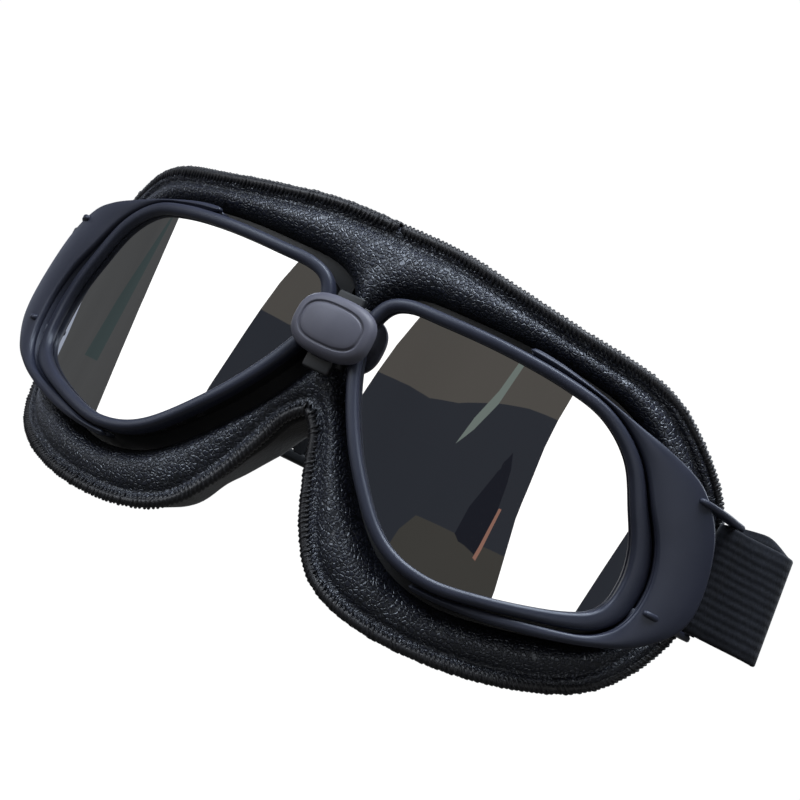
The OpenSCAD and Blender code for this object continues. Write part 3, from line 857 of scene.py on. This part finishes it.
def make_bartack(side):
    """A zigzag of thread across the strap, sunk a little into the webbing."""
    path, _ = strap_route(side)
    i = int(np.argmin(abs(path[:, 0] - 60) + 100 * (path[:, 1] < 50)))
    x0, y0 = path[i]
    slope = (path[i + 2][1] - path[i - 2][1]) / (path[i + 2][0] - path[i - 2][0])
    parts = []
    for column in (0.0, 6.0):
        zig = []
        for k in range(47):
            dx = column + (0.8 if k % 2 else -0.8)
            zig.append((x0 + dx, y0 + slope * dx + 0.86, STRAP_Z - STRAP_W / 2 + 1.0 + 0.5 * k))
        parts.append(tube(zig, 0.24, sides=5))
    points, faces = merge(parts)
    name = "left_strap_bartack" if side < 0 else "right_strap_bartack"
    return put(name + "_thread", points, faces, side, THREAD)


def make_slider():
    w, bar, rail, clear, t = 15.0, 3.2, 2.6, 0.3, 1.8
    inside = STRAP_W + 2 * clear
    deep = 1.6 + 2 * clear + 2 * t
    x0, y0, z0 = -22.0, BACK_Y, STRAP_Z
    parts = []
    for z in (-inside / 2 - rail, inside / 2):
        parts.append(rounded_box(x0 - w / 2, x0 + w / 2, y0 - deep / 2, y0 + deep / 2,
                                 z0 + z, z0 + z + rail, 0.7))
    for x in (-w / 2, w / 2 - bar):
        parts.append(rounded_box(x0 + x, x0 + x + bar, y0 + deep / 2 - t, y0 + deep / 2,
                                 z0 - inside / 2 - 0.8, z0 + inside / 2 + 0.8, 0.6))
    parts.append(rounded_box(x0 - bar / 2, x0 + bar / 2, y0 - deep / 2, y0 - deep / 2 + t,
                             z0 - inside / 2 - 0.8, z0 + inside / 2 + 0.8, 0.6))
    points, faces = merge(parts)
    return put("strap_slider_buckle", points, faces, 1, BLACK)


# Assembly -------------------------------------------------------------------------------
def at(x, y, z):
    return (x * MM, (y - SEAT) * MM, z * MM)


for side, tag in ((-1, "left"), (1, "right")):
    body = tag + "_half"
    rim = make_rim(side)
    lens = make_lens(side)
    wing = make_wing(side)
    for piece, node in ((rim, "rim"), (lens, "lens"), (wing, "wing")):
        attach(piece, body)
        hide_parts(tag + "_" + node)

    leather = make_leather(side)
    pad = make_pad(side)
    lining = make_lining(side)
    stitches = make_stitches(side)
    for piece in (leather, pad, lining, stitches):
        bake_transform(piece)
    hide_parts(tag + "_leather", "nose_leather")
    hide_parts(tag + "_foam", "nose_foam")
    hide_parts(tag + "_lining", "nose_lining")
    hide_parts(tag + "_edge_stitch", "nose_edge_stitch")

    strap = make_strap(side)
    tack = make_bartack(side)
    for piece in (strap, tack):
        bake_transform(piece)
    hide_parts(tag + "_strap_end", "strap_back")
    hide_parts(tag + "_strap_bartack")

cover = make_cover()
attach(cover, "bridge")
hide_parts("bridge_cover")
block = make_hinge_block()
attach(block, "bridge")
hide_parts("hinge_block")
tail = make_tail()
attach(tail, "bridge")
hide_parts("strap_tail")
slider = make_slider()
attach(slider, "slider")
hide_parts("strap_slider")

for node, material in (("left_eyecup", BLACK), ("right_eyecup", BLACK),
                       ("left_retaining_ring", BLACK), ("right_retaining_ring", BLACK),
                       ("bridge_screws", STEEL), ("left_hinge_pin", STEEL), ("right_hinge_pin", STEEL)):
    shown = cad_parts[node]
    shown = shown if isinstance(shown, bpy.types.Object) else bpy.data.objects[node]
    for k in range(len(shown.material_slots)):
        shown.material_slots[k].material = material


# Floor, cards, lights and camera ----------------------------------------------------------
def stage_plane(name, centre, size, facing, material):
    mesh = bpy.data.meshes.new(name)
    w, h = size[0] / 2, size[1] / 2
    mesh.from_pydata([(-w, -h, 0), (w, -h, 0), (w, h, 0), (-w, h, 0)], [], [(0, 1, 2, 3)])
    plane = bpy.data.objects.new(name, mesh)
    bpy.context.collection.objects.link(plane)
    plane.location = centre
    plane.rotation_euler = Vector(facing).to_track_quat("Z", "Y").to_euler()
    mesh.materials.append(material)
    return plane


def glow_material(name, colour, strength=1.0, vary=0.08):
    """A plain lit card, a little uneven."""
    m = Paint(name, Roughness=1.0, Specular_IOR_Level=0.0)
    low = tuple(c * (1 - vary) for c in colour) + (1,)
    high = tuple(c * (1 + vary) for c in colour) + (1,)
    tint = m.ramp(m.noise(3.0, 3), [(0.3, low), (0.7, high)])
    m.link(tint, m.shader.inputs["Emission Color"])
    m.shader.inputs["Base Color"].default_value = (0, 0, 0, 1)
    m.shader.inputs["Emission Strength"].default_value = strength
    return m.material


def card(name, outline, distance_m, material):
    """A card round the goggles that only shows in the lenses. Its outline is in pairs of degrees
    from straight ahead, to the right, and millimetres above the face seat."""
    points = []
    for (h0, z0), (h1, z1) in zip(outline, outline[1:] + outline[:1]):
        for k in range(4):
            h, z = math.radians(h0 + (h1 - h0) * k / 4), z0 + (z1 - z0) * k / 4
            points.append((distance_m * math.sin(h), -distance_m * math.cos(h), z * MM))
    mesh = bpy.data.meshes.new(name)
    mesh.from_pydata(points, [], [tuple(range(len(points)))])
    made = bpy.data.objects.new(name, mesh)
    bpy.context.collection.objects.link(made)
    mesh.materials.append(material)
    made.visible_camera = False
    made.visible_diffuse = False
    made.visible_shadow = False
    made.visible_transmission = False


FLOOR_Z = -0.14
floor = stage_plane("floor", (0, 0, FLOOR_Z), (30, 30), (0, 0, 1), pale_floor())
floor.visible_diffuse = False
floor.visible_glossy = False

SLATE = glow_material("card_slate", (0.042, 0.047, 0.060))
GREEN = glow_material("card_green", (0.070, 0.095, 0.098))
BROWN = glow_material("card_brown", (0.130, 0.122, 0.112))
UMBER = glow_material("card_umber", (0.080, 0.077, 0.070))
GREY = glow_material("card_grey", (0.110, 0.112, 0.115))
PALE = glow_material("card_pale", (0.52, 0.57, 0.70))
WHITE = glow_material("card_white", (1.0, 1.0, 1.0), 2.3, 0.03)
GLINT = glow_material("card_glint", (0.24, 0.29, 0.27))
EMBER = glow_material("card_ember", (0.42, 0.22, 0.17))
NIGHT = glow_material("card_night", (0.020, 0.022, 0.032))

LOW, HIGH = -90, 330
MIDDLE = [(-15, 33), (-6.3, 32), (4, 34), (16.5, 39), (26, 41), (36.1, 41)]
NEAR = 0.26
card("card_a", [(-36, LOW), (-32, 4), (-29.5, 25), (-28.4, 33)] + MIDDLE
     + [(36.2, 32), (38.3, 9), (42.7, -13), (52, LOW)], NEAR, SLATE)
card("card_b", [(-28.4, 33), (-26.6, 43), (-23.5, 54), (-10, 95), (36.6, 95), (36.6, 49)] + MIDDLE[::-1],
     NEAR, BROWN)
card("card_c", [(-12, LOW), (-9, -3), (40.6, -3), (42.7, -13), (50, LOW)], NEAR - 0.004, UMBER)
card("card_d", [(9.5, 22), (11.2, 31), (14.6, 42), (16.4, 53), (18.4, 53), (16.4, 38), (13.0, 28)],
     NEAR - 0.006, GLINT)
card("card_e", [(23.0, -9), (23.4, 6), (28.2, 26), (31.0, 18), (33.2, 0), (32.6, -20), (27, -30)],
     NEAR - 0.008, NIGHT)
card("card_f", [(31.2, -20), (32.2, -4), (32.4, 9), (33.3, 9), (33.4, -4), (32.6, -20)], NEAR - 0.010, EMBER)
card("card_g", [(20, LOW), (20, HIGH), (75, HIGH), (75, LOW)], 1.60, WHITE)
card("card_h", [(59, LOW), (62, 58), (63.8, 97), (66.2, 145), (73, HIGH), (100, HIGH), (100, LOW)],
     1.55, SLATE)
card("card_i", [(-80, LOW), (-80, HIGH), (-52, HIGH), (-10, HIGH), (-10, LOW), (-52, LOW)], 1.60, WHITE)
card("card_j", [(-62, LOW), (-68.1, 28), (-70.9, 76), (-74.1, 136), (-76.7, 190), (-84, HIGH), (-115, HIGH),
                (-112.2, 127), (-106.5, 71), (-104.7, 40), (-101, LOW)], 1.55, GREY)
card("card_k", [(-80, 60), (-80, 215), (-90, 240), (-99, 200), (-97, 121), (-95, 60)], 1.52, GREEN)
card("card_l", [(-98, LOW), (-98, HIGH), (-150, HIGH), (-150, LOW)], 1.62, PALE)


def area_light(name, where, size, power, target=(0.0, 0.0, 0.0)):
    data = bpy.data.lights.new(name, "AREA")
    data.shape = "RECTANGLE"
    data.size, data.size_y = size
    data.energy = power
    data.color = (0.86, 0.92, 1.0)
    light = bpy.data.objects.new(name, data)
    bpy.context.collection.objects.link(light)
    light.location = where
    light.rotation_euler = (Vector(target) - Vector(where)).to_track_quat("-Z", "Y").to_euler()
    return light


area_light("top_softbox", (0.15, -0.25, 1.0), (0.7, 0.5), 18)
area_light("front_softbox", (-0.7, -0.8, 0.65), (0.5, 0.5), 8)
area_light("rear_softbox", (0.5, 0.8, 0.7), (0.8, 0.6), 6)

world = bpy.data.worlds.new("studio")
bpy.context.scene.world = world
world.use_nodes = True
backdrop = next(n for n in world.node_tree.nodes if n.type == "BACKGROUND")
backdrop.inputs["Color"].default_value = (0.99, 0.995, 1, 1)
# The room is dimmer than the white that the camera sees behind the goggles.
room = world.node_tree.nodes.new("ShaderNodeMath")
room.operation = "MULTIPLY_ADD"
room.inputs[1].default_value = 0.90
room.inputs[2].default_value = 0.12
path = world.node_tree.nodes.new("ShaderNodeLightPath")
world.node_tree.links.new(path.outputs["Is Camera Ray"], room.inputs[0])
world.node_tree.links.new(room.outputs["Value"], backdrop.inputs["Strength"])
bpy.context.scene.view_settings.view_transform = "Standard"


def set_camera(azimuth, elevation, roll, aim, distance_mm, focal):
    """A camera that looks from azimuth and elevation at aim; roll turns it anticlockwise."""
    a, e = math.radians(azimuth), math.radians(elevation)
    view = Vector((-math.sin(a) * math.cos(e), math.cos(a) * math.cos(e), -math.sin(e)))
    data = bpy.data.cameras.new("camera")
    data.lens = focal
    data.sensor_width = 36
    data.clip_start = 0.01
    camera = bpy.data.objects.new("camera", data)
    bpy.context.collection.objects.link(camera)
    camera.location = (Vector(aim) - view * distance_mm) * MM
    level = view.to_track_quat("-Z", "Y").to_matrix()
    camera.rotation_euler = (level @ Matrix.Rotation(math.radians(roll), 3, "Z")).to_euler()
    bpy.context.scene.camera = camera


set_camera(23.62, -5.30, 27.40, (19.3, -20.0, 5.37), 562.4, 116.75)
